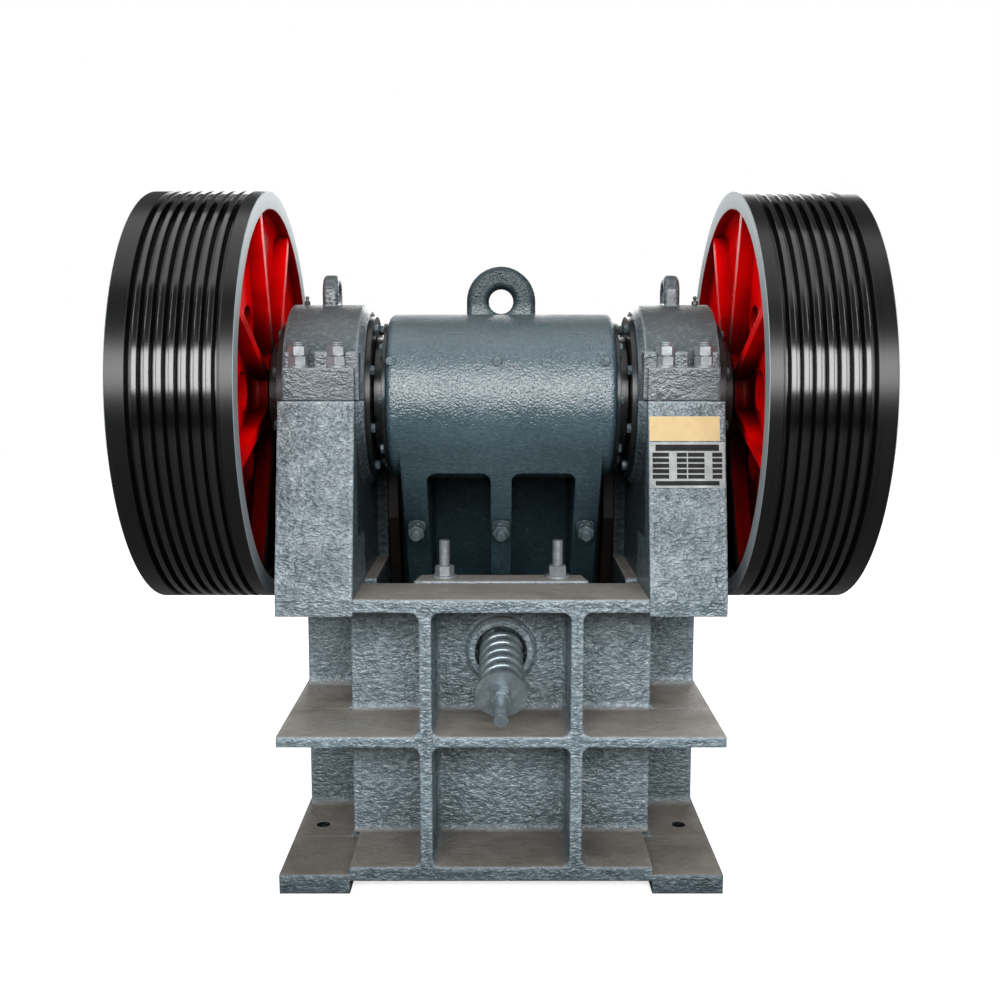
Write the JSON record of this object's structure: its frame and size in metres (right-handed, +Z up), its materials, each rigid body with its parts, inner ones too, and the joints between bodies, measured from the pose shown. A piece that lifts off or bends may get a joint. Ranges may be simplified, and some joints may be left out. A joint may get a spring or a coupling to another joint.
{
  "type": "jaw crusher",
  "caption": "Single-toggle jaw crusher with a ribbed cast frame, grooved flywheels on an eccentric shaft, swing jaw, toggle, adjusting wedge and tension rod with spring",
  "frame": {"origin": "floor level, in the centre of the four foundation holes", "axes": "+X across the machine along the eccentric shaft, +Y towards the feed side (the fixed jaw), +Z up"},
  "size_m": [1.31, 1.004, 1.204],
  "materials": {
    "frame_enamel": "grey enamel over rough casting, dusty and worn",
    "wheel_red": "red enamel",
    "manganese_steel": "as-cast wear steel",
    "machined_steel": "turned, lightly oiled",
    "zinc_steel": "zinc plated",
    "black_steel": "black paint",
    "spring_steel": "worn bright on the coils",
    "cast_steel": "rough cast"
  },
  "bodies": {
    "frame": {"side_wall_left": "frame_enamel", "side_wall_right": "frame_enamel", "rear_wall": "frame_enamel", "front_wall": "frame_enamel", "fixed_jaw_plate": "manganese_steel", "fixed_jaw_clamp": "cast_steel", "cheek_plate_left": "manganese_steel", "cheek_plate_right": "manganese_steel", "adjusting_wedge": "cast_steel", "adjusting_stud_left": "zinc_steel", "adjusting_stud_right": "zinc_steel", "bearing_cap_left": "frame_enamel", "bearing_cap_right": "frame_enamel", "bearing_left": "machined_steel", "bearing_right": "machined_steel", "outer_bearing_cover_left": "black_steel", "outer_bearing_cover_right": "black_steel", "inner_bearing_cover_left": "black_steel", "inner_bearing_cover_right": "black_steel", "tension_spring": "spring_steel"},
    "rotor": {"eccentric_shaft": "machined_steel", "flywheel_left": "wheel_red", "flywheel_right": "wheel_red", "lock_ring_left": "black_steel", "lock_ring_right": "black_steel", "labyrinth_ring_left": "black_steel", "labyrinth_ring_right": "black_steel"},
    "swing_jaw": {"swing_jaw_body": "frame_enamel", "swing_jaw_plate": "manganese_steel", "jaw_plate_wedge": "cast_steel", "jaw_plate_bolts": "zinc_steel", "barrel_cover_left": "black_steel", "barrel_cover_right": "black_steel", "front_toggle_seat": "cast_steel", "tension_rod_pin": "machined_steel"},
    "rod": {"tension_rod": "machined_steel", "spring_disc": "spring_steel", "tension_rod_nut": "zinc_steel"},
    "toggle": {"toggle_plate": "cast_steel", "rear_toggle_seat": "cast_steel", "adjusting_block": "cast_steel"}
  },
  "joints": [
    {"name": "shaft_spin", "type": "hinge", "parent": "frame", "child": "rotor", "pos_m": [0, -0.215, 0.84], "axis": [1, 0, 0], "continuous": true},
    {"name": "jaw_swing", "type": "hinge", "parent": "frame", "child": "swing_jaw", "pos_m": [0, -0.215, 0.84], "axis": [1, 0, 0], "range_deg": [0, 3.88], "deforming": ["tension_spring"]},
    {"name": "rod_pivot", "type": "hinge", "parent": "swing_jaw", "child": "rod", "pos_m": [0, -0.08994, 0.45823], "axis": [1, 0, 0], "range_deg": [-3.6, 0]},
    {"name": "toggle_slide", "type": "slide", "parent": "frame", "child": "toggle", "axis": [0, 0.9076, 0.4198], "range_m": [0, 0.0401]}
  ],
  "couplings": [
    {"joint": "rod_pivot", "follows": "jaw_swing", "ratio": -0.926},
    {"joint": "toggle_slide", "follows": "jaw_swing", "m_per_rad": 0.5914}
  ]
}
